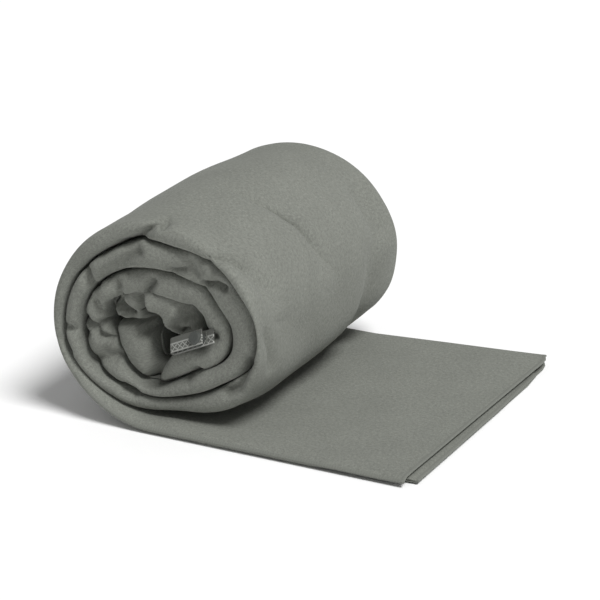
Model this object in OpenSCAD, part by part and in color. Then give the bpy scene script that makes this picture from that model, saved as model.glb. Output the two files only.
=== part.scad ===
// Quick-dry towel: a microfibre panel folded lengthwise in three, rolled up from one
// end, with its last stretch lying flat and its hanging loop tucked into the roll.
// +X runs along the loose end, +Y along the axis of the roll, +Z up.
// The origin is the middle of the footprint, on the surface that the towel lies on.

/* [Folded cloth] */
// Width of the towel once it is folded lengthwise in three
folded_w = 200; // [180:5:230]
// Thickness of the three plies where they lie flat
flat_t = 5.4; // [4.8:0.1:6]
// Thickness of one ply of cloth
ply_t = 1.4; // [1.2:0.05:1.5]
// How far short of the far fold the middle ply ends
middle_short = 24; // [15:1:40]

/* [Roll] */
// Radius of the outermost turn where it leaves the flat stretch
roll_r = 65; // [63:0.5:68]
// Thickness of one puffy turn of the folded cloth
turn_t = 9.3; // [8.6:0.1:9.5]
// Air between one turn and the next
turn_gap = 0.6; // [0.4:0.1:1]
// Turns in the roll
turns = 4.75; // [3.75:1:4.75]
// How far the roll's own weight flattens it
sag = 1; // [0.5:0.1:2]

/* [Loose end] */
// Distance from the roll's axis to where the loose end begins to lift
lift_x = 58; // [52:1:70]
// Distance from the roll's axis to the end of the cloth
reach = 159; // [150:1:200]

/* [Dished end] */
// Depth of the hollow in the near end of the roll
dish_depth = 17; // [16.5:0.1:20]
// Radius of the hollow's floor
dish_floor_r = 28; // [27:0.5:29]
// Radius of the hollow's rim
dish_rim_r = 38; // [36:0.5:40]

/* [Hems] */
// Width of the overlocked hems
hem_w = 1.2; // [1:0.1:2]

/* [Hanging loop] */
// Width of the woven tape
tape_w = 9; // [8:0.5:10]
// Thickness of the woven tape
tape_t = 0.8; // [0.6:0.1:1]
// Length of each leg of the folded tape
leg_l = 22.5; // [20:0.5:23]
// Distance between the middles of the two legs
leg_gap = 4; // [4:0.1:4.4]

/* [Press stud] */
// Radius of the press stud's four parts
stud_r = 4; // [3.5:0.1:4.2]
// Radius of the head that snaps into the socket
head_r = 1.6; // [1.4:0.1:1.7]
// Distance from the sewn end of the tape to the middle of the press stud
stud_x = 6.2; // [5.6:0.1:8]

/* [Hidden] */
$fn = 64;

cloth_grey = "#7d7f78";
thread_grey = "#6c6e67";
tape_grey = "#b4b5ae";
stud_grey = "#4b4d4a";

// The spiral, seen along +Y with its axis at [spiral_x, spiral_z]. The turn angle
// starts at the bottom and runs up the left, over the top and down the right.
spiral_x = 2;
spiral_z = roll_r - sag;
pitch = turn_t + turn_gap;
turn_step = 12;
end_turn = 360 * turns;
function radius_at(a, inset) = roll_r - pitch * a / 360 - inset;
function spiral_point(a, inset) = [
    spiral_x - radius_at(a, inset) * sin(a),
    max(0, spiral_z - radius_at(a, inset) * cos(a))];
turn_angles = [for (a = [0 : turn_step : end_turn - 1]) a];
outer_points = [for (a = concat(turn_angles, [end_turn])) spiral_point(a, 0)];
inner_points = [for (i = [len(turn_angles) : -1 : 0])
    spiral_point(i < len(turn_angles) ? turn_angles[i] : end_turn, turn_t)];
thinning_l = 14;
band_points = concat(
    [[lift_x, 0]], outer_points, inner_points,
    [[spiral_x + thinning_l, flat_t], [lift_x, flat_t]]);

// The roll's axis lies this far from the middle of the footprint.
roll_left = min([for (p = outer_points) p[0]]);
roll_x = -(roll_left + reach + hem_w) / 2;
near_y = -folded_w / 2;
body_gap = 0.3;

dish_x = 6;
dish_z = spiral_z - 2;
cut_over = 1;

// The hanging loop's sewn end, and how the tape lies there.
sewn_at = [33, 11, 60.5];
tape_tilt = -25;
tape_lean = -35;
tab_start = 0.8;
tab_size = [3.2, 10, tape_w];
tab_front = 1;
sewn_clear = 0.7;
flap_short = 1.5;
pin_r = 0.9;
pin_hole_r = 1;
pin_bore_r = 0.95;
cap_t = 1.6;
socket_t = 2;
socket_bore_r = head_r + 0.3;
socket_plate_t = 0.5;
stud_base_t = 0.9;
head_top_gap = 0.2;
post_t = 0.8;
stitch_t = 0.3;
stitch_l = 1;

// Draws an outline of the x-z plane along the whole width of the folded cloth.
module across_width() {
    translate([0, folded_w / 2, 0]) rotate([90, 0, 0]) linear_extrude(folded_w) children();
}

// Places its children in the frame of the sewn end: -X along the tape to its fold,
// -Y out of the tape's face, Z across its width.
module at_sewn_end() {
    translate([roll_x, near_y, 0] + sewn_at)
        rotate([0, tape_tilt, 0]) rotate([tape_lean, 0, 0]) children();
}

// A disc on the press stud's axis, from one depth to another.
module stud_disc(r, from, to) {
    translate([-stud_x, from, 0]) rotate([-90, 0, 0]) cylinder(r = r, h = to - from);
}

// The rolled part: the spiral band with its dished near end, and the corner of the
// cloth that the loop is sewn to.
module rolled_cloth() color(cloth_grey) {
    difference() {
        translate([roll_x, 0, 0]) across_width() polygon(band_points);
        translate([roll_x + dish_x, near_y - cut_over, dish_z]) rotate([-90, 0, 0])
            cylinder(r1 = dish_rim_r + cut_over * (dish_rim_r - dish_floor_r) / dish_depth,
                r2 = dish_floor_r, h = dish_depth + cut_over, $fn = 96);
    }
    at_sewn_end() translate([tab_start, -tab_front, -tape_w / 2]) cube(tab_size);
}

// The three plies seen end on: the lower ply turns back at the far fold into the
// upper ply and at the near fold into the middle one, which ends short.
slit_t = (flat_t - 3 * ply_t) / 2;
module folded_section() {
    upper_z = flat_t - ply_t - slit_t;
    difference() {
        hull() for (y = [flat_t / 2, folded_w - flat_t / 2])
            translate([y, flat_t / 2]) circle(flat_t / 2, $fn = 32);
        translate([-cut_over, upper_z]) square([folded_w + cut_over - ply_t * 2, slit_t]);
        translate([ply_t * 2, ply_t]) square([folded_w - ply_t * 4, slit_t]);
        translate([folded_w - middle_short, ply_t])
            square([middle_short - ply_t * 2, flat_t - 2 * ply_t]);
        translate([-cut_over, upper_z]) square([cut_over + hem_w, flat_t]);
    }
}

// Draws the folded section from one x to another.
module folded_run(from, to) {
    translate([roll_x + from, near_y, 0]) rotate([90, 0, 90])
        linear_extrude(to - from) folded_section();
}

module loose_end() color(cloth_grey) folded_run(lift_x + body_gap, reach);

module tail_end_hem() color(thread_grey) folded_run(reach, reach + hem_w);

// The overlocked short end in the middle of the roll.
module core_end_hem() color(thread_grey) {
    inner_r = radius_at(end_turn, turn_t);
    translate([roll_x + spiral_x + inner_r, near_y + dish_depth + cut_over, spiral_z - hem_w])
        cube([turn_t, folded_w - dish_depth - cut_over, hem_w]);
}

// The long edge of the upper ply, along the near side.
module near_long_hem() color(thread_grey)
    translate([roll_x + lift_x + body_gap, near_y, flat_t - ply_t])
        cube([reach - lift_x - body_gap, hem_w, ply_t]);

// The long edge of the middle ply, hidden inside the fold.
module inner_long_hem() color(thread_grey)
    translate([roll_x + lift_x + body_gap, near_y + folded_w - middle_short, ply_t + slit_t])
        cube([reach - lift_x - body_gap, hem_w, ply_t]);

// The sewn leg of the loop, and the tape's turn at its far end.
module loop_tape() color(tape_grey) at_sewn_end() {
    difference() {
        translate([-leg_l, -tape_t / 2, -tape_w / 2]) cube([leg_l - sewn_clear, tape_t, tape_w]);
        stud_disc(pin_hole_r, -tape_t, tape_t);
    }
    translate([-leg_l, -leg_gap / 2, -tape_w / 2]) difference() {
        cylinder(r = (leg_gap + tape_t) / 2, h = tape_w);
        translate([0, 0, -cut_over])
            cylinder(r = (leg_gap - tape_t) / 2, h = tape_w + 2 * cut_over);
        translate([0, -leg_gap, -cut_over]) cube([leg_gap, 2 * leg_gap, tape_w + 2 * cut_over]);
    }
}

// The free leg of the loop, which opens away from the sewn leg.
module loop_flap() color(tape_grey) at_sewn_end() difference() {
    translate([-leg_l + body_gap, -leg_gap - tape_t / 2, -tape_w / 2])
        cube([leg_l - body_gap - flap_short, tape_t, tape_w]);
    stud_disc(pin_hole_r, -leg_gap - tape_t, -leg_gap + tape_t);
}

// The stitches that hold the sewn end.
module loop_bartack() color(thread_grey) at_sewn_end()
    translate([-sewn_clear - stitch_l, -tape_t / 2 - stitch_t, -tape_w / 2 + stitch_l])
        cube([stitch_l, stitch_t, tape_w - 2 * stitch_l]);

flap_front = -leg_gap - tape_t / 2;
flap_back = -leg_gap + tape_t / 2;
socket_back = flap_back + socket_t;
leg_front = -tape_t / 2;

// The cap on the outside of the free leg, with its pin through the tape.
module snap_cap() color(stud_grey) at_sewn_end() {
    translate([-stud_x, flap_front, 0]) rotate([90, 0, 0])
        cylinder(r1 = stud_r, r2 = stud_r * 0.8, h = cap_t);
    stud_disc(pin_r, flap_front, flap_back + socket_plate_t);
}

// The socket behind the free leg, open towards the stud.
module snap_socket() color(stud_grey) at_sewn_end() difference() {
    stud_disc(stud_r, flap_back, socket_back);
    stud_disc(pin_bore_r, flap_back - cut_over, socket_back);
    stud_disc(socket_bore_r, flap_back + socket_plate_t, socket_back + cut_over);
}

// The stud on the sewn leg, with its round head in the socket.
module snap_stud() color(stud_grey) at_sewn_end() difference() {
    union() {
        stud_disc(stud_r, leg_front - stud_base_t, leg_front);
        stud_disc(head_r, flap_back + socket_plate_t + head_top_gap, leg_front);
    }
    stud_disc(pin_bore_r, leg_front - stud_base_t, leg_front + cut_over);
}

// The post behind the sewn leg, with its pin through the tape into the stud.
module snap_post() color(stud_grey) at_sewn_end() {
    stud_disc(stud_r, -leg_front, -leg_front + post_t);
    stud_disc(pin_r, leg_front - stud_base_t / 2, -leg_front);
}

rolled_cloth();
loose_end();
tail_end_hem();
core_end_hem();
near_long_hem();
inner_long_hem();
loop_tape();
loop_flap();
loop_bartack();
snap_cap();
snap_socket();
snap_stud();
snap_post();
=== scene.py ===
import math

import bpy
import numpy as np
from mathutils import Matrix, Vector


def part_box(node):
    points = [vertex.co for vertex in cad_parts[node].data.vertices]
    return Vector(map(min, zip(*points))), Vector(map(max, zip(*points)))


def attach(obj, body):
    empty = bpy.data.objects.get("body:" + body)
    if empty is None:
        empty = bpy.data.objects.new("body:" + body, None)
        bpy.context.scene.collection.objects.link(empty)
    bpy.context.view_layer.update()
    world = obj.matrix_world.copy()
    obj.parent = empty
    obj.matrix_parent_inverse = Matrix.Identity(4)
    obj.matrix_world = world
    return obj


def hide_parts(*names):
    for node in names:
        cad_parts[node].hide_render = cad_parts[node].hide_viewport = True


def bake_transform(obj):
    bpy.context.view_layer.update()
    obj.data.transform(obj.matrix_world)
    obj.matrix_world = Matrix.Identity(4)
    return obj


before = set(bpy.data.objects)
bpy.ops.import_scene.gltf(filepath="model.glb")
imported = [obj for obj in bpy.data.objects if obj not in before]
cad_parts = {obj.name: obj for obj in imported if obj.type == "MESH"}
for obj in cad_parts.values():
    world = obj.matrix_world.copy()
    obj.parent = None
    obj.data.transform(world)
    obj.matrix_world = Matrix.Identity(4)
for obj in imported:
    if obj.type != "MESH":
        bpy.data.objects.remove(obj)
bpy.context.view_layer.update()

MM = 0.001

# ---- the frame -------------------------------------------------------------------
# The towel is worked out in millimetres from the foot of the roll's axis at the near
# end: x towards the loose end, y along the axis, z up.
roll_low, roll_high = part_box("rolled_cloth")
loose_low, loose_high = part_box("loose_end")
hem_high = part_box("tail_end_hem")[1]
# How far the roll reaches to the left of its axis.
ROLL_LEFT = 60.35
AXIS_X = roll_low.x / MM + ROLL_LEFT
NEAR_Y = roll_low.y / MM
WIDTH = (roll_high.y - roll_low.y) / MM
REACH = hem_high.x / MM - AXIS_X
FLAT_T = (loose_high.z - loose_low.z) / MM
CLOTH_T = 1.1


def to_world(points):
    """Millimetres from the foot of the roll's axis to metres in the row frame."""
    return (np.asarray(points, float) + (AXIS_X, NEAR_Y, 0)) * MM


def smooth_step(low, high, at):
    """From 0 at low to 1 at high, without a kink."""
    f = np.clip((np.asarray(at, float) - low) / (high - low), 0, 1)
    return f * f * (3 - 2 * f)


def between(rise, fall, at):
    """From 0 to 1 over the two values of rise, and back to 0 over those of fall."""
    return smooth_step(*rise, at) * (1 - smooth_step(*fall, at))


def unit(vectors):
    return vectors / np.maximum(np.linalg.norm(vectors, axis=-1, keepdims=True), 1e-9)


# ---- the camera ------------------------------------------------------------------
VIEW_AZ, VIEW_EL = math.radians(26.77), math.radians(20.77)
VIEW_DISTANCE = 1443 * MM
VIEW_TARGET = to_world([(24.1, 140.3, 37.2)])[0]
LENS, SENSOR = 144, 36


def make_camera():
    camera = bpy.data.objects.new("camera", bpy.data.cameras.new("camera"))
    bpy.context.scene.collection.objects.link(camera)
    camera.data.lens = LENS
    camera.data.sensor_width = SENSOR
    camera.data.clip_start = 0.05
    camera.data.clip_end = 40
    back = np.array((math.sin(VIEW_AZ) * math.cos(VIEW_EL),
                     -math.cos(VIEW_AZ) * math.cos(VIEW_EL), math.sin(VIEW_EL)))
    camera.location = VIEW_TARGET + back * VIEW_DISTANCE
    camera.rotation_euler = (math.pi / 2 - VIEW_EL, 0, VIEW_AZ)
    bpy.context.scene.camera = camera


# ---- the winding of the cloth ----------------------------------------------------
# Each row is a winding angle in degrees, the radius of the band's outer side about
# the middle of the roll, and how far its near edge is set back. The angle starts at
# the bottom and runs up the left side, over the top and down the right.
ROLL_Z = 62
WINDING = [
    (0, 62, 0), (30, 62, 0), (60, 62, 0), (90, 61.5, 0), (120, 62, 1), (150, 62.8, 2),
    (180, 63, 4), (210, 63.5, 6), (240, 64, 9), (270, 65, 11), (295, 65, 12),
    (312, 62.5, 13), (322, 59.3, 13), (332, 56, 13), (342, 53.3, 13),
    (356, 52.3, 12), (369, 53.6, 10), (379, 54.5, 8), (399, 55, 5), (415, 56, 3),
    (428, 57, 2), (450, 54.5, 1), (480, 52, 1), (510, 49.5, 2), (540, 51, 4), (555, 50.5, 6),
    (570, 54, 8), (585, 57, 9), (602, 57.5, 11), (620, 61.5, 13), (635, 61, 13),
    (648, 57, 13), (662, 50.5, 12), (680, 46, 11), (700, 43.5, 11),
    (720, 43.5, 10), (750, 45.3, 9), (773, 49, 8), (790, 48, 7), (810, 45, 6),
    (840, 39.8, 6), (860, 35.3, 7), (880, 33.8, 8), (915, 33, 10), (935, 35, 11),
    (948, 39, 12), (965, 39, 13), (985, 43, 14), (1003, 43.5, 14), (1018, 40, 13),
    (1030, 35, 13), (1050, 32, 12), (1068, 34, 12),
    (1086, 38, 11), (1110, 36.5, 10), (1134, 32, 11), (1144, 30, 11), (1162, 32.5, 12),
    (1188, 31, 12), (1206, 24, 12), (1221, 20.5, 12), (1250, 16.5, 13), (1278, 15.3, 13),
    (1309, 18.8, 14), (1325, 19, 14), (1338, 22, 14), (1353, 25, 15), (1380, 32, 15),
]
# The air between the turns, the angle over which the first turn thins from the loose
# end's thickness, and the angle at which the crumpled middle begins.
TURN_GAP = 0.3
THINS_OVER = 40
BAND_TO = 996
PATH_BLUR = 2.0
# The crumpled middle, as (x, z, thickness, set-back) along the folded cloth.
CORE = [
    (34, 51, 14, 13), (29.5, 47.7, 15, 12), (22.5, 45.3, 16, 11),
    (12.5, 40.3, 15, 12), (4, 34, 12, 14), (-3, 29.5, 8, 15), (-9.5, 32, 12, 15),
    (-14, 37.5, 17, 14), (-16.3, 44.5, 20, 13), (-18, 51.5, 21, 13), (-19.5, 58, 21.5, 14),
    (-20.5, 64.5, 20, 13), (-19.5, 70.5, 17.5, 11), (-14, 74, 15, 10), (-7, 75, 13.5, 11),
    (0, 74, 15, 11), (7, 70, 20, 13), (11, 63, 25, 16), (10, 57, 20, 17),
    (9.5, 52, 13, 24),
]


def through(knots, values, at):
    """A smooth curve through values at the knots, read at other places."""
    knots, values = np.asarray(knots, float), np.asarray(values, float)
    slopes = np.gradient(values, knots)
    i = np.clip(np.searchsorted(knots, at, side="right") - 1, 0, len(knots) - 2)
    step = knots[i + 1] - knots[i]
    f = (np.asarray(at, float) - knots[i]) / step
    return ((2 * f**3 - 3 * f**2 + 1) * values[i] + (f**3 - 2 * f**2 + f) * step * slopes[i]
            + (3 * f**2 - 2 * f**3) * values[i + 1] + (f**3 - f**2) * step * slopes[i + 1])


def blurred(values, spread):
    """Values along the path, averaged with a bell curve of this many samples."""
    reach = int(3 * spread) + 1
    weights = np.exp(-0.5 * (np.arange(-reach, reach + 1) / spread) ** 2)
    padded = np.pad(values, reach, mode="edge")
    return np.convolve(padded, weights / weights.sum(), mode="valid")


def noise_along(rng, count, spread):
    """Smooth random values along the path, about -1 to 1."""
    values = blurred(rng.standard_normal(count), spread)
    return values / np.abs(values).max()


def distances(points):
    """How far along a line of points each of them is."""
    gaps = np.linalg.norm(np.diff(points, axis=0), axis=1)
    return np.concatenate([[0], np.cumsum(gaps)])


def placed(rows, along, at):
    """The rows of a line, read at other distances along it."""
    return np.column_stack([np.interp(at, along, column) for column in rows.T])


def evenly(rows, step):
    """Rows of a path placed again at even steps along it, with the distance of each."""
    along = distances(rows[:, :2])
    at = np.linspace(0, along[-1], int(along[-1] / step) + 1)
    return at, placed(rows, along, at)


def winding_path():
    """The folded cloth's middle line from the loose end to the core, as rows of
    x, z, thickness and set-back, a millimetre apart."""
    angles = np.arange(0, BAND_TO + 1, 1.0)
    knots, radii, setbacks = np.array(WINDING).T
    outer = through(knots, radii, angles)
    inner = through(knots, radii, angles + 360) + TURN_GAP
    inner += (ROLL_Z - FLAT_T - inner) * (1 - smooth_step(0, THINS_OVER, angles))
    middle, turn = (outer + inner) / 2, np.radians(angles)
    band = np.column_stack([-middle * np.sin(turn), ROLL_Z - middle * np.cos(turn),
                            outer - inner, through(knots, setbacks, angles)])
    tail_x = np.arange(REACH, 0, -1.0)
    tail = np.column_stack([tail_x, np.full(len(tail_x), FLAT_T / 2),
                            np.full(len(tail_x), FLAT_T), np.zeros(len(tail_x))])
    core = np.vstack([band[-1], CORE])
    along = distances(core[:, :2])
    at = np.arange(1, along[-1], 1.0)
    core = np.column_stack([through(along, column, at) for column in core.T])
    rows = evenly(np.vstack([tail, band, core]), 1.0)[1]
    return np.column_stack([blurred(column, PATH_BLUR) for column in rows.T])


# ---- the cloth's folded section --------------------------------------------------
# The plies are named as they lie in the loose end. In the roll the upper ply is the
# inner one.
ROW_STEP = 1.75
MIDDLE_SHORT = 24
# The near and far folds: the most they stand out, the share of it at the near one, and
# how square they are.
NEAR_FOLD, FAR_FOLD = 6.5, 6.0
FOLD_DEPTH = 0.95
FOLD_FULLNESS = 0.62
# How much of the section's half thickness the upper ply's near edge drops in the loose
# end, and within what distance of the edge.
EDGE_DROP = 1.15
EDGE_ROUND = 2
# Where changes along the cloth begin and end, in millimetres past its flat stretch: the
# middle ply settles on the upper one, the upper ply's edge draws back into the near
# fold, and the near edges stop wandering.
SETTLES = (-30, 70)
DRAWS_BACK = (40, 120)
STILL = (400, 600)
# How far the upper ply's edge draws back behind the fold, how far the near fold stays
# behind that edge in the loose end, and how much further at its cut end.
UPPER_BACK, NEAR_BACK, CUT_BACK = 9, 1.3, 6.5
CUT_OVER = 60
# How far the near edges of the turns wander, and over how many rows.
WANDER = ((0.8, 10), (0.3, 4))
# Where the columns of points lie on the upper, lower and middle ply, in millimetres
# from the ply's near side, and the length that the first two of these stand for.
B_AT = (0, 0.8, 2, 4, 12, 60, 176, 186, 192)
A_AT = (0, 1.2, 2.6, 4.2, 6, 8, 10.5, 13, 16, 19.5, 23, 27, 31, 36, 43, 51, 57, 62, 67, 71,
        75, 78.5, 81.3, 83.2, 84.8, 86.6, 89, 92, 97, 104, 112, 120, 128, 137, 145, 153,
        161, 170, 180, 186)
C_AT = (0, 1.5, 4, 10, 50, 110)
B_SPAN, A_SPAN = WIDTH - 2, WIDTH - 10
FAR_COLUMNS, NEAR_COLUMNS = 6, 13
B_COLUMNS = len(B_AT) + 1
C_COLUMNS = len(C_AT) + 1
# The long crease over the top of the roll: winding angle, y and depth. The lower ply's
# columns near LONG_CREASE_AT are drawn along it.
LONG_CREASE = [(183, 73, 0), (194, 72.5, 3), (209, 75, 7), (220, 82, 9), (228, 88, 9.5),
               (243, 93.5, 7.6), (256, 96.5, 4.2), (270, 100, 0)]
LONG_CREASE_AT = 84
DRAWN = ((35, 75), (95, 150))


def past_flat(span, at):
    """From 0 to 1 over a span given in millimetres past the cloth's flat stretch."""
    return smooth_step(REACH + span[0], REACH + span[1], at)


def cloth_grid():
    """The towel's cloth as a grid of points in millimetres: rows along its length,
    columns across its cut width, folded in three. The upper ply comes first, then the
    far fold, the lower ply, the near fold and the middle ply."""
    rng = np.random.default_rng(7)
    at, rows = evenly(winding_path(), ROW_STEP)
    x, z, thick, setback = rows.T
    count = len(at)
    rolled, tucked = past_flat(SETTLES, at), past_flat(DRAWS_BACK, at)
    wander = sum(size * noise_along(rng, count, rows_over) for size, rows_over in WANDER)
    setback = setback + rolled * (1 - past_flat(STILL, at)) * wander
    winding = np.degrees(np.unwrap(np.arctan2(-x, ROLL_Z - z)))
    direction = np.gradient(rows[:, :2], axis=0)
    direction /= np.linalg.norm(direction, axis=1)[:, None]
    normal = np.column_stack([-direction[:, 1], direction[:, 0]])
    h = thick / 2 - CLOTH_T / 2
    fold = np.minimum(h, NEAR_FOLD) * FOLD_DEPTH
    middle_h = -(h - CLOTH_T * 1.2) * rolled
    upper_edge = setback + (fold + UPPER_BACK) * tucked
    far = np.minimum(h, FAR_FOLD)
    near = setback + fold + NEAR_BACK * (1 - tucked) + CUT_BACK * np.clip(1 - at / CUT_OVER, 0, 1)
    far_y = WIDTH - far
    stretch = (far_y - near) / A_SPAN
    lie = []
    for off in B_AT:
        drop = EDGE_DROP * h * (1 - tucked) * math.exp(-(off / EDGE_ROUND) ** 1.5)
        lie.append((upper_edge + off * (far_y - upper_edge) / B_SPAN, -h + drop))
    lie.append((far_y, -h))
    for turn in np.radians(np.linspace(-90, 90, FAR_COLUMNS + 2)[1:-1]):
        lie.append((far_y + far * np.cos(turn) ** FOLD_FULLNESS, h * np.sin(turn)))
    lie.append((far_y, h))
    drawn_by = np.interp(winding, *np.array(LONG_CREASE).T[:2]) - LONG_CREASE_AT
    for off in reversed(A_AT):
        lie.append((near + off * stretch + drawn_by * between(*DRAWN, off), h))
    for turn in np.radians(np.linspace(90, -90, NEAR_COLUMNS + 2)[1:-1]):
        across = (h - middle_h) / 2 * np.sin(turn) + (h + middle_h) / 2
        lie.append((near - fold * np.cos(turn) ** FOLD_FULLNESS, across))
    for off in C_AT:
        lie.append((near + off * stretch, middle_h))
    lie.append((np.full(count, WIDTH - MIDDLE_SHORT), middle_h))
    y, across = (np.array(part).T for part in zip(*lie))
    grid = np.empty(y.shape + (3,))
    grid[..., 0] = x[:, None] + normal[:, 0:1] * across
    grid[..., 1] = y
    grid[..., 2] = z[:, None] + normal[:, 1:2] * across
    return at, grid


def from_line(points, line):
    """The distance of points from a line of straight pieces, in the plane they share."""
    nearest = np.full(points.shape[:-1], np.inf)
    for a, b in zip(line[:-1], line[1:]):
        a, b = np.array(a, float), np.array(b, float)
        f = np.clip((points - a) @ (b - a) / ((b - a) @ (b - a)), 0, 1)
        nearest = np.minimum(nearest, np.linalg.norm(points - a - f[..., None] * (b - a),
                                                     axis=-1))
    return nearest


# Creases in the rolled end: how wide, how deep (a ridge is less than nothing), and
# their line of x, z. They push the cloth in along the roll's axis.
END_CREASES = [
    (1.5, 4, [(-30, 101), (-18, 110)]),
    (1.8, 8, [(-16, 110), (-7, 115), (-1, 119), (3, 123)]),
    (1.8, 3.5, [(37, 109), (45, 109)]),
    (1.2, 2.5, [(-52, 40), (-56, 47)]),
    (2.6, 7, [(-30, 87), (-22, 94), (-8, 106)]),
    (1.8, 7, [(-39, 90), (-37, 80)]),
    (1.5, 5, [(12, 98), (19, 99)]),
    (2.5, 4, [(23, 103), (27, 97)]),
    (1.4, 7, [(31, 92), (39, 93), (43, 91)]),
    (1.8, 4, [(-52, 55), (-44, 50)]),
    (1.8, 7, [(-21, 21), (-15, 19)]),
    (2.0, 7, [(43, 29), (50, 33), (57, 49)]),
    (1.6, 8, [(-44, 60), (-36, 51), (-30.5, 48)]),
    (2.0, 5, [(-37, 71), (-35, 64), (-29, 59)]),
    (2.0, 6, [(-23, 83), (-23, 77)]),
    (1.6, 7, [(-5, 82), (-1, 88)]),
    (2.4, 3, [(21, 74), (25, 71)]),
    (1.5, 6, [(29, 60), (35, 60)]),
    (2.0, 5, [(-33, 42), (-27.5, 39)]),
    (2.6, 5, [(-37, 36), (-28, 36.5)]),
    (1.8, 6, [(18, 32), (24, 39)]),
    (1.3, 14, [(-36, 57.5), (-20, 58.5), (-7, 59.5)]),
    (2.4, 14, [(-11, 54.5), (-5, 54)]),
    (2.2, 13, [(3, 48), (1, 41), (-3, 35), (-6, 27)]),
    (2.4, 11, [(-25.5, 70), (-19, 65.5)]),
    (2.0, 9, [(-10.5, 76), (-10, 70), (-9, 64)]),
    (1.6, -3.5, [(-4.5, 80), (-4, 70), (-2.5, 62), (2, 55)]),
    (1.8, -3.5, [(10, 70), (6, 64), (2, 59)]),
    (3.0, 9, [(18, 71), (13, 64), (8, 59)]),
    (3.0, 11, [(24, 65), (27, 57)]),
    (1.3, -3, [(6, 56), (12, 61), (19, 63)]),
    (1.3, 7, [(9, 56), (16, 59.5)]),
]
# Creases in the outermost turn: how wide, how deep, and their line of winding angle
# and y. They push the cloth in towards the roll's axis.
OUTER_CREASES = [
    (2.6, 7.0, [(187, -2), (186, 6), (185, 13)]),
    (2.2, 4.8, [(219, 8), (223, 13), (228, 18), (233, 21)]),
    (4.5, 3.6, [(238, 26), (242, 28), (248, 31)]),
    (2.4, 3.0, [(267, 18), (276, 24), (287, 27.5)]),
    (6.0, 1.2, [(228, 81), (245, 84), (254, 89), (265, 100)]),
    (5.0, 6.2, [(232, 172), (246, 170), (256, 173)]),
    (6.0, 4.4, [(266, 159), (280, 157), (300, 150)]),
    (9.0, 2.0, [(265, 40), (290, 75)]),
    (12.0, 1.2, [(150, 50), (165, 150)]),
]


# How deep the rolled end's creases reach along the axis.
END_REACH = (18, 42)
# How far under the roll's outer radius the cloth still gives way to a crease, near the
# rolled end and away from it, and where along the axis the one becomes the other.
GIVES_NEAR, GIVES_AWAY = (-5, -1), (-18, -7)
AWAY = (22, 45)
# The long crease: how sharp its near side is, and how soon it fades beyond.
LONG_EDGE, LONG_FADE = 1.2, 4.2
# The columns of the upper and middle ply under the far creases, how much deeper these
# are tucked so that they stay below them, and over which angles.
UNDER_COLUMNS = (B_AT.index(176), -1)
UNDER_TUCK = 7
UNDER_ANGLES = ((210, 232), (300, 320))


def round_axis(grid):
    """Each point's x and z from the roll's axis, its distance from it and its angle."""
    dx, dz = grid[..., 0], grid[..., 2] - ROLL_Z
    return dx, dz, np.hypot(dx, dz), np.degrees(np.arctan2(-dx, -dz)) % 360


def crease(at, grid):
    """Presses the creases into the rolled end and the outermost turn."""
    rolled = past_flat((-20, 20), at)[:, None]
    rim = 1 - smooth_step(*END_REACH, grid[..., 1])
    seen = grid[..., ::2]
    for width, depth, line in END_CREASES:
        away = from_line(seen, line)
        grid[..., 1] += depth * np.exp(-0.5 * (away / width) ** 2) * rim * rolled
    dx, dz, radius, angle = round_axis(grid)
    outer_radius = np.interp(angle, *np.array(WINDING[:17]).T[:2])
    share = smooth_step(*AWAY, grid[..., 1])
    low, high = (a + (b - a) * share for a, b in zip(GIVES_NEAR, GIVES_AWAY))
    gives = smooth_step(low, high, radius - outer_radius) * rolled
    place = np.stack([np.radians(angle) * ROLL_Z, grid[..., 1]], -1)
    push = np.zeros(radius.shape)
    for width, depth, line in OUTER_CREASES:
        line = [(math.radians(turn) * ROLL_Z, y) for turn, y in line]
        push += depth * np.exp(-0.5 * (from_line(place, line) / width) ** 2)
    turns, middles, depths = np.array(LONG_CREASE).T
    beyond = grid[..., 1] - np.interp(angle, turns, middles)
    fade = np.exp(-np.maximum(beyond, 0) / LONG_FADE)
    push += np.interp(angle, turns, depths) * smooth_step(-LONG_EDGE, LONG_EDGE, beyond) * fade
    under = UNDER_TUCK * between(*UNDER_ANGLES, angle)
    for column in UNDER_COLUMNS:
        push[:, column] += under[:, column]
    scale = 1 - push * gives / np.maximum(radius, 1)
    grid[..., 0] = dx * scale
    grid[..., 2] = ROLL_Z + dz * scale


# How far the far side is drawn in, how much less so in the roll, and over what length
# of the loose end and what part of the width.
DRAW_IN, DRAW_LESS = 14, 0.35
DRAW_OVER, DRAW_ACROSS = REACH - 55, (60, WIDTH)
# Where the roll swells, as winding angles and as y, and by how much. The upper left is
# drawn in at the rolled end, and the lower right fades towards the far one.
TOP_LEFT, LOW_RIGHT = ((80, 130), (190, 240)), ((275, 300), (336, 350))
TOP_SWELL, TOP_DIP, TOP_ALONG = 2.4, 1.3, (12, 75)
LOW_SWELL, LOW_FADE, LOW_ALONG, LOW_FADES = 4.5, 0.65, (8, 50), (100, 185)
SWELL_RADII = (40, 60)
# How much of its height over the axis the roll loses by its far end.
SAG, SAG_ALONG = 0.105, (110, WIDTH - 10)


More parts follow.
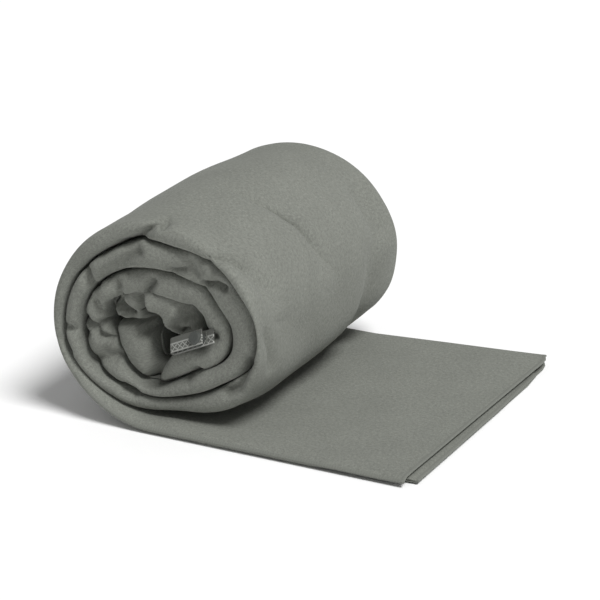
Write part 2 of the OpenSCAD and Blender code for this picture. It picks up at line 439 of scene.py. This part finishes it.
def settle(at, grid):
    """Draws the cloth in towards its far side, and lets the roll swell and sag."""
    rolled = past_flat((-20, 60), at)[:, None]
    drawn = np.clip(at / DRAW_OVER, 0, 1)[:, None] * (1 - DRAW_LESS * rolled)
    grid[..., 1] -= DRAW_IN * drawn * smooth_step(*DRAW_ACROSS, grid[..., 1])
    y = grid[..., 1]
    dx, dz, radius, angle = round_axis(grid)
    swell = (TOP_SWELL * smooth_step(*TOP_ALONG, y) - TOP_DIP) * between(*TOP_LEFT, angle)
    swell += (LOW_SWELL * smooth_step(*LOW_ALONG, y) * between(*LOW_RIGHT, angle)
              * (1 - LOW_FADE * smooth_step(*LOW_FADES, y)))
    scale = 1 + swell * rolled * smooth_step(*SWELL_RADII, radius) / np.maximum(radius, 1)
    sag = SAG * smooth_step(*SAG_ALONG, y) * rolled * (dz > 0)
    grid[..., 0] = dx * scale
    grid[..., 2] = ROLL_Z + dz * (scale - sag)


# The loose end's cut end. Within END_OVER of it the plies part, by x and z each: the
# upper one shrinks back and rises, the middle one shows and drops.
END_OVER = 14
UPPER_PARTS, MIDDLE_PARTS = (-1.2, 0.3), (1.0, -0.9)
# Within CUT_OVER the cut slants: how far its far side stands out, how far the near side
# does, how much less the upper ply, and how far the lower plies shrink back at the far
# side, with where along the width they do.
FAR_OUT, NEAR_OUT, UPPER_LESS = 5.5, 1.5, 3
LOWER_BACK, LOWER_ALONG = 1.8, (WIDTH - 40, WIDTH - 20)
# The far corner is rounded off: by how much, within what distance of the far side and
# of the cut end, and how sharply.
CORNER_BACK, CORNER_ACROSS, CORNER_OVER, CORNER_POWER = 5, 14, 25, 2.5


def lay_cut_end(at, grid):
    """Lays the plies at the loose end as they were cut and folded, a little askew."""
    upper = np.zeros(grid.shape[1])
    upper[:B_COLUMNS] = 1
    middle = np.zeros(grid.shape[1])
    middle[-C_COLUMNS - NEAR_COLUMNS // 2:] = 1
    lower = np.ones(grid.shape[1])
    lower[:B_COLUMNS] = 0
    lower[B_COLUMNS:B_COLUMNS + FAR_COLUMNS] = np.linspace(0, 1, FAR_COLUMNS)
    end = np.clip(1 - at / END_OVER, 0, 1)[:, None] ** 2
    grid[..., 0] += end * (UPPER_PARTS[0] * upper + MIDDLE_PARTS[0] * middle)
    grid[..., 2] += end * (UPPER_PARTS[1] * upper + MIDDLE_PARTS[1] * middle)
    near_side = np.clip(1 - grid[..., 1] / WIDTH, 0, 1)
    cut = np.clip(1 - at / CUT_OVER, 0, 1)[:, None]
    grid[..., 0] += cut * (FAR_OUT * (1 - near_side)
                           + (NEAR_OUT - UPPER_LESS * upper) * near_side)
    grid[..., 0] -= cut * LOWER_BACK * lower * smooth_step(*LOWER_ALONG, grid[..., 1])
    corner = np.clip((grid[..., 1] - (WIDTH - CORNER_ACROSS)) / CORNER_ACROSS, 0, 1)
    round_off = np.clip(1 - at / CORNER_OVER, 0, 1)[:, None]
    grid[..., 0] -= CORNER_BACK * corner ** CORNER_POWER * round_off


# ---- meshes ----------------------------------------------------------------------
def make_piece(name, points, faces, cloth_place):
    """A mesh piece from points in metres. cloth_place is where each point lies on its
    own fabric, which the materials read so that they stay on the fabric."""
    mesh = bpy.data.meshes.new(name)
    mesh.from_pydata(points.tolist(), [], faces)
    mesh.polygons.foreach_set("use_smooth", [True] * len(mesh.polygons))
    layer = mesh.attributes.new("cloth_place", "FLOAT_VECTOR", "POINT")
    layer.data.foreach_set("vector", cloth_place.astype(np.float32).ravel())
    piece = bpy.data.objects.new(name, mesh)
    bpy.context.scene.collection.objects.link(piece)
    return piece


def grid_faces(rows, columns, rings=False):
    """The quads of a grid of points. The rows of a tube are rings."""
    index = np.arange(rows * columns).reshape(rows, columns)
    if rings:
        index = np.hstack([index, index[:, :1]])
    return np.stack([index[:-1, :-1], index[1:, :-1], index[1:, 1:], index[:-1, 1:]],
                    -1).reshape(-1, 4).tolist()


def closed_tube(rows, columns):
    """The faces of a tube of rings, with the two that close its ends."""
    last = rows * columns
    return grid_faces(rows, columns, rings=True) + [
        list(range(columns)), list(range(last - 1, last - 1 - columns, -1))]


def thicken(piece, thickness):
    """Gives a sheet its thickness, half of it to either side."""
    solid = piece.modifiers.new("thickness", "SOLIDIFY")
    solid.thickness = thickness * MM
    solid.offset = 0
    graph = bpy.context.evaluated_depsgraph_get()
    mesh = bpy.data.meshes.new_from_object(piece.evaluated_get(graph))
    piece.modifiers.clear()
    piece.data = mesh


def cloth_places(at, grid):
    """Where each point of the cloth's grid lies on the flat towel, in metres."""
    across = np.linalg.norm(np.diff(grid, axis=1), axis=2).cumsum(axis=1)
    across = np.hstack([np.zeros((len(at), 1)), across]) * MM
    along = np.broadcast_to(at[:, None] * MM, across.shape)
    return np.stack([along, across, np.zeros(across.shape)], -1).reshape(-1, 3)


def make_cloth(at, grid):
    points = to_world(grid.reshape(-1, 3))
    piece = make_piece("towel_cloth", points, grid_faces(*grid.shape[:2]),
                       cloth_places(at, grid))
    thicken(piece, CLOTH_T)
    return piece


# ---- hems ------------------------------------------------------------------------
HEM_STEP = 0.8
HEM_DEPTH = 2.4
# The overlocked thread's section round the edge: how far in from the edge, and how
# far to one side of the cloth, in millimetres.
HEM_SECTION = [(HEM_DEPTH, 0.45), (1.5, 0.61), (0.3, 0.64), (-0.25, 0.42), (-0.38, 0),
               (-0.25, -0.42), (0.3, -0.64), (1.5, -0.61), (HEM_DEPTH, -0.45)]
THREAD_SWELL = 0.1
# How much of that swell the thread's two sides have.
SIDE_SWELL = 0.4


def make_hem(name, edge, inward):
    """An overlocked hem round an edge of the cloth. inward holds the points of the
    cloth just inside each point of the edge."""
    along = distances(edge)
    at = np.linspace(0, along[-1], int(along[-1] / HEM_STEP) + 1)
    inward = unit(placed(unit(inward - edge), along, at))
    edge = placed(edge, along, at)
    side = unit(np.cross(unit(np.gradient(edge, axis=0)), inward))
    section = np.array(HEM_SECTION)
    swell = THREAD_SWELL * np.where(np.arange(len(at)) % 2, 1, -1)[:, None, None]
    depth, proud = section[:, 0][None, :, None], section[:, 1][None, :, None]
    depth = np.where(depth < 0, depth * (1 + swell), depth)
    points = (edge[:, None] + inward[:, None] * depth
              + side[:, None] * proud * (1 + swell * SIDE_SWELL))
    places = np.stack(np.broadcast_arrays(at[:, None], section[None, :, 1],
                                          section[None, :, 0]), -1) * MM
    return make_piece(name, to_world(points.reshape(-1, 3)),
                      closed_tube(len(at), len(section)), places.reshape(-1, 3))


# ---- the hanging loop ------------------------------------------------------------
# The sewn end's own axes: -tape_x along the tape to its fold, -tape_y out of its face,
# tape_z across its width. They are the CAD's, with the lengths in millimetres.
SEWN_AT = np.array((33, 11, 60.5))
TAPE_TILT, TAPE_LEAN = math.radians(-25), math.radians(-35)
TAPE_W, TAPE_T, LEG_L, LEG_GAP, FLAP_SHORT = 9, 0.8, 22.5, 4, 1.5
# How far past the seam the tape runs inside the cloth.
SEWN_IN = 3.5
TAPE_STEP = 0.3
TAPE_POINTS = 31
# The woven edge's width and how much thinner it is; the ribs' pitch and height, and how
# far from the edge they stop; how proud the light thread stands, and how far the ground
# lies below the tape's full thickness.
EDGE_W, EDGE_THIN = 0.9, 0.55
RIB_PITCH, RIB_H, RIB_STOP = 1.2, 0.07, 0.5
THREAD_H = 0.16
GROUND_THIN = 0.06
# The row of lozenges: pitch, half height and middle, the line on either side of it, how
# wide the thread is, and its stitches.
LOZENGE_PITCH, LOZENGE_H, LOZENGE_Z = 3.6, 1.7, -1.7
LINE_Z = 2.3
THREAD_W = (0.55, 0.2)
STITCH_PITCH, STITCH_LOW = 0.9, 0.1
# The bartack: how far from the seam it is, half its width, half its row's length, its
# turns and its thread's radius; how many points a turn has, and sides its thread.
STITCH_AT, STITCH_HALF, STITCH_ROW, STITCH_TURNS, STITCH_R = 1.2, 0.42, 3.4, 14, 0.14
STITCH_POINTS, STITCH_SIDES = 20, 8


def tape_axes():
    """The sewn end's own axes, as rows."""
    lean = np.array([(1, 0, 0), (0, math.cos(TAPE_LEAN), -math.sin(TAPE_LEAN)),
                     (0, math.sin(TAPE_LEAN), math.cos(TAPE_LEAN))])
    tilt = np.array([(math.cos(TAPE_TILT), 0, math.sin(TAPE_TILT)), (0, 1, 0),
                     (-math.sin(TAPE_TILT), 0, math.cos(TAPE_TILT))])
    return (tilt @ lean).T


def lozenge(along, across):
    """How much of a light thread shows at a place on the tape: a row of lozenges
    between two lines, from 0 to 1."""
    away = np.abs(across - LOZENGE_Z)
    wave = np.abs((along / LOZENGE_PITCH) % 1 * 2 - 1) * LOZENGE_H
    lines = np.minimum(np.abs(away - wave), np.abs(away - LINE_Z))
    stitched = ((1 + STITCH_LOW) / 2
                + (1 - STITCH_LOW) / 2 * np.cos(2 * math.pi * along / STITCH_PITCH))
    return smooth_step(*THREAD_W, lines) * stitched


def make_tape(name, line, start_at):
    """A stretch of woven tape along a line of tape_x, tape_y, as a closed solid with
    ribs across it. start_at is how far along the tape the stretch begins."""
    line = np.array(line, float)
    along = distances(line)
    at = np.linspace(0, along[-1], int(along[-1] / TAPE_STEP) + 1)
    place = placed(line, along, at)
    tangent = unit(np.gradient(place, axis=0))
    out = np.column_stack([tangent[:, 1], -tangent[:, 0]])
    across = np.linspace(-TAPE_W / 2, TAPE_W / 2, TAPE_POINTS)
    ring = np.concatenate([across, across[::-1]])[None, :]
    face = np.repeat((1, -1), TAPE_POINTS)
    thinner = EDGE_THIN * smooth_step(TAPE_W / 2 - EDGE_W, TAPE_W / 2, np.abs(ring))
    s = (start_at + at)[:, None]
    rib = RIB_H * np.cos(2 * math.pi * s / RIB_PITCH) * (np.abs(ring) < TAPE_W / 2 - RIB_STOP)
    thread = lozenge(s, ring)
    half = (TAPE_T / 2 - GROUND_THIN) * (1 - thinner) + rib + THREAD_H * thread
    flat = place[:, None, :] + out[:, None, :] * (half * face)[..., None]
    local = np.dstack([flat, np.broadcast_to(ring, half.shape)[..., None]])
    points = SEWN_AT + local.reshape(-1, 3) @ tape_axes()
    shape = half.shape
    faces = grid_faces(*shape, rings=True)
    last = half.size - shape[1]
    for end in (0, last):
        for i in range(TAPE_POINTS - 1):
            quad = [end + i, end + i + 1, end + shape[1] - 2 - i, end + shape[1] - 1 - i]
            faces.append(quad if end == 0 else quad[::-1])
    places = np.stack(np.broadcast_arrays(s, ring, thread), -1).reshape(-1, 3)
    return make_piece(name, to_world(points), faces, places)


def make_stitches():
    """The bartack: one thread to and fro across the tape at its sewn end."""
    f = np.linspace(0, 1, STITCH_POINTS * STITCH_TURNS + 1)
    line = np.column_stack([-STITCH_AT + STITCH_HALF * np.sin(2 * math.pi * STITCH_TURNS * f),
                            np.full(len(f), -TAPE_T / 2 - STITCH_R),
                            STITCH_ROW * (2 * f - 1)])
    side = unit(np.cross(unit(np.gradient(line, axis=0)), (0, 1, 0)))
    turn = np.radians(np.arange(STITCH_SIDES) * 360 / STITCH_SIDES)[None, :, None]
    ring = side[:, None] * np.cos(turn) + np.array((0, 1, 0)) * np.sin(turn)
    points = (line[:, None] + STITCH_R * ring).reshape(-1, 3)
    return make_piece("loop_bartack_stitches", to_world(SEWN_AT + points @ tape_axes()),
                      closed_tube(len(f), STITCH_SIDES), points * MM)


# ---- materials -------------------------------------------------------------------
# The colour sockets of a Mix node.
MIX_A, MIX_B, MIX_RESULT = 6, 7, 2


class Nodes:
    """A material and short ways to add and join its nodes."""

    def __init__(self, name):
        self.mat = bpy.data.materials.new(name)
        self.mat.use_nodes = True
        self.tree = self.mat.node_tree
        self.shader = self.tree.nodes["Principled BSDF"]

    def add(self, kind, inputs=None, **settings):
        node = self.tree.nodes.new(kind)
        for key, value in settings.items():
            setattr(node, key, value)
        for key, value in (inputs or {}).items():
            self.feed(node.inputs[key], value)
        return node

    def feed(self, socket, value):
        if isinstance(value, bpy.types.NodeSocket):
            self.tree.links.new(value, socket)
        else:
            socket.default_value = value

    def place(self):
        return self.add("ShaderNodeAttribute", attribute_name="cloth_place").outputs["Vector"]

    def noise(self, place, scale, detail=2.0, rough=0.6):
        node = self.add("ShaderNodeTexNoise",
                        {"Vector": place, "Scale": scale, "Detail": detail, "Roughness": rough})
        return node.outputs["Fac"]

    def maths(self, operation, a, b):
        return self.add("ShaderNodeMath", {0: a, 1: b}, operation=operation).outputs[0]

    def spread(self, value, to_low, to_high, low=0.3, high=0.7):
        """A value read as a factor. Most of a noise lies between low and high."""
        return self.add("ShaderNodeMapRange", {"Value": value, "From Min": low,
                        "From Max": high, "To Min": to_low, "To Max": to_high}).outputs[0]

    def tinted(self, colour, factor):
        """A colour times a varying factor."""
        grey = self.add("ShaderNodeCombineColor", {0: factor, 1: factor, 2: factor})
        return self.mixed(1.0, (*colour, 1), grey.outputs[0], "MULTIPLY")

    def mixed(self, factor, a, b, blend_type="MIX"):
        mix = self.add("ShaderNodeMix", {"Factor": factor, MIX_A: a, MIX_B: b},
                       data_type="RGBA", blend_type=blend_type)
        return mix.outputs[MIX_RESULT]

    def finish(self, roughness, colour=None, height=None, bump=0.3, distance=0.0003,
               sheen=0.0):
        shader = self.shader.inputs
        shader["Roughness"].default_value = roughness
        shader["Specular IOR Level"].default_value = 0.25
        if sheen:
            shader["Sheen Weight"].default_value = sheen
            shader["Sheen Roughness"].default_value = 0.55
            shader["Sheen Tint"].default_value = (0.8, 0.82, 0.78, 1)
        if colour is not None:
            self.feed(shader["Base Color"], colour)
        if height is not None:
            node = self.add("ShaderNodeBump", {"Strength": bump, "Distance": distance,
                                               "Height": height})
            self.feed(shader["Normal"], node.outputs[0])
        return self.mat


def microfibre():
    """Suede microfibre: a fine nap, brushed a little one way, with soft mottling."""
    m = Nodes("microfibre")
    place = m.place()
    brushed = m.add("ShaderNodeMapping", {"Vector": place, "Scale": (0.6, 1.3, 1.0)})
    nap = m.noise(brushed.outputs[0], 1500)
    pile = m.noise(place, 520)
    patches = m.noise(place, 42, detail=3.0)
    broad = m.noise(place, 9, rough=0.5)
    shade = m.maths("MULTIPLY", m.spread(nap, 0.8, 1.2), m.spread(pile, 0.86, 1.14))
    shade = m.maths("MULTIPLY", shade, m.spread(patches, 0.95, 1.05))
    shade = m.maths("MULTIPLY", shade, m.spread(broad, 0.97, 1.03))
    height = m.maths("ADD", m.maths("MULTIPLY", nap, 0.5), pile)
    return m.finish(0.92, m.tinted((0.19, 0.1976, 0.175), shade), height, bump=0.5,
                    distance=0.0005, sheen=0.12)


def hem_thread():
    """Overlocked thread: a painted highlight along each turn's middle, painted shade between
    turns.
    """
    m = Nodes("hem_thread")
    place = m.place()
    # Painted highlight and shade: the bands lighten the middle of each turn of the thread and
    # darken where the turns meet.
    turns = m.add("ShaderNodeTexWave", {"Vector": place, "Scale": 200.0, "Distortion": 0.6,
                  "Detail": 1.0}, wave_type="BANDS", bands_direction="X")
    fuzz = m.noise(place, 2200)
    shade = m.maths("MULTIPLY", m.spread(turns.outputs["Fac"], 0.94, 1.05, 0, 1),
                    m.spread(fuzz, 0.88, 1.12))
    return m.finish(0.85, m.tinted((0.175, 0.182, 0.162), shade), fuzz, bump=0.4,
                    distance=0.0002, sheen=0.08)


def woven_tape():
    """Woven tape: grey, with a row of lozenges in a lighter thread. The third number of
    its cloth_place says how much of that thread shows."""
    m = Nodes("woven_tape")
    place = m.place()
    parts = m.add("ShaderNodeSeparateXYZ", {"Vector": place})
    fibres = m.noise(place, 3.0, detail=3.0)
    ground = m.tinted((0.1, 0.103, 0.093), m.spread(fibres, 0.8, 1.2))
    light = m.tinted((0.5, 0.51, 0.48), m.spread(fibres, 0.85, 1.1))
    colour = m.mixed(parts.outputs[2], ground, light)
    return m.finish(0.75, colour, fibres, bump=0.4, distance=0.0002, sheen=0.05)


def moulded_stud():
    """The press stud's satin plastic."""
    m = Nodes("press_stud")
    place = m.add("ShaderNodeTexCoord").outputs["Object"]
    grain = m.noise(place, 2500, rough=0.5)
    colour = m.tinted((0.07, 0.075, 0.07), m.spread(grain, 0.85, 1.15))
    return m.finish(0.42, colour, grain, bump=0.15, distance=0.0001)


# ---- floor and lights ------------------------------------------------------------
# Half the floor's side, and how far it lies below the towel, in metres.
FLOOR_HALF, FLOOR_BELOW = 12, 0.0005


def make_floor():
    corners = [(x * FLOOR_HALF, y * FLOOR_HALF, 0)
               for x, y in ((-1, -1), (1, -1), (1, 1), (-1, 1))]
    mesh = bpy.data.meshes.new("floor")
    mesh.from_pydata(corners, [], [(0, 1, 2, 3)])
    mesh.materials.append(Nodes("floor").finish(0.9, (0.97, 0.97, 0.97, 1)))
    floor = bpy.data.objects.new("floor", mesh)
    floor.location.z = -FLOOR_BELOW
    bpy.context.scene.collection.objects.link(floor)


def sun(name, towards, softness, power):
    """A distant light that comes from a direction. Its softness is in degrees."""
    light = bpy.data.lights.new(name, "SUN")
    light.angle = math.radians(softness)
    light.energy = power
    lamp = bpy.data.objects.new(name, light)
    bpy.context.scene.collection.objects.link(lamp)
    back = np.array(towards) / np.linalg.norm(towards)
    lamp.rotation_euler = (math.acos(back[2]), 0, math.atan2(back[1], back[0]) + math.pi / 2)


def make_lights():
    world = bpy.data.worlds.new("studio")
    world.use_nodes = True
    sky = world.node_tree.nodes["Background"].inputs
    sky["Color"].default_value = (1, 1, 1, 1)
    sky["Strength"].default_value = 0.32
    bpy.context.scene.world = world
    sun("key", (0.48, -0.18, 0.86), softness=22, power=2.85)
    bpy.context.scene.view_settings.view_transform = "Standard"


# ---- the scene -------------------------------------------------------------------
make_camera()
at, grid = cloth_grid()
settle(at, grid)
lay_cut_end(at, grid)
crease(at, grid)

MICROFIBRE, HEM_THREAD = microfibre(), hem_thread()
WOVEN_TAPE, STUD = woven_tape(), moulded_stud()


def bend_with_loose_end(piece):
    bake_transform(piece)


near_hem = make_hem("near_long_hem_thread", grid[:, 0], grid[:, 2])
inner_hem = make_hem("inner_long_hem_thread", grid[:, -1], grid[:, -2])
tail_hem = make_hem("tail_end_hem_thread", grid[0], grid[2])
core_hem = make_hem("core_end_hem_thread", grid[-1], grid[-3])
hems = [(near_hem, "near_long_hem"), (inner_hem, "inner_long_hem"),
        (tail_hem, "tail_end_hem"), (core_hem, "core_end_hem")]
for hem, node in hems:
    hem.data.materials.append(HEM_THREAD)
    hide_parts(node)
for hem in (near_hem, inner_hem):
    bend_with_loose_end(hem)
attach(tail_hem, "loose_end")
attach(core_hem, "rolled_towel")

cloth = make_cloth(at, grid)
cloth.data.materials.append(MICROFIBRE)
bend_with_loose_end(cloth)
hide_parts("rolled_cloth", "loose_end")

# The tape runs from the seam to its fold, round it, and back towards the seam.
bight = [(-LEG_L - LEG_GAP / 2 * math.sin(turn), LEG_GAP / 2 * (math.cos(turn) - 1))
         for turn in np.radians(range(0, 181, 15))]
sewn_leg = make_tape("loop_tape_sewn_leg", [(SEWN_IN, 0), (-LEG_L, 0)], 0)
free_leg = make_tape("loop_tape_free_leg", bight + [(-FLAP_SHORT, -LEG_GAP)],
                     SEWN_IN + LEG_L)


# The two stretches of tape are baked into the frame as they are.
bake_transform(sewn_leg)
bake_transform(free_leg)
for tape, node in ((sewn_leg, "loop_tape"), (free_leg, "loop_flap")):
    tape.data.materials.append(WOVEN_TAPE)
    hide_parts(node)

for name in ("snap_cap", "snap_socket", "snap_stud", "snap_post"):
    for slot in bpy.data.objects[name].material_slots:
        slot.material = STUD

stitches = make_stitches()
stitches.data.materials.append(HEM_THREAD)
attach(stitches, "hanging_loop")
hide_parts("loop_bartack")

make_floor()
make_lights()

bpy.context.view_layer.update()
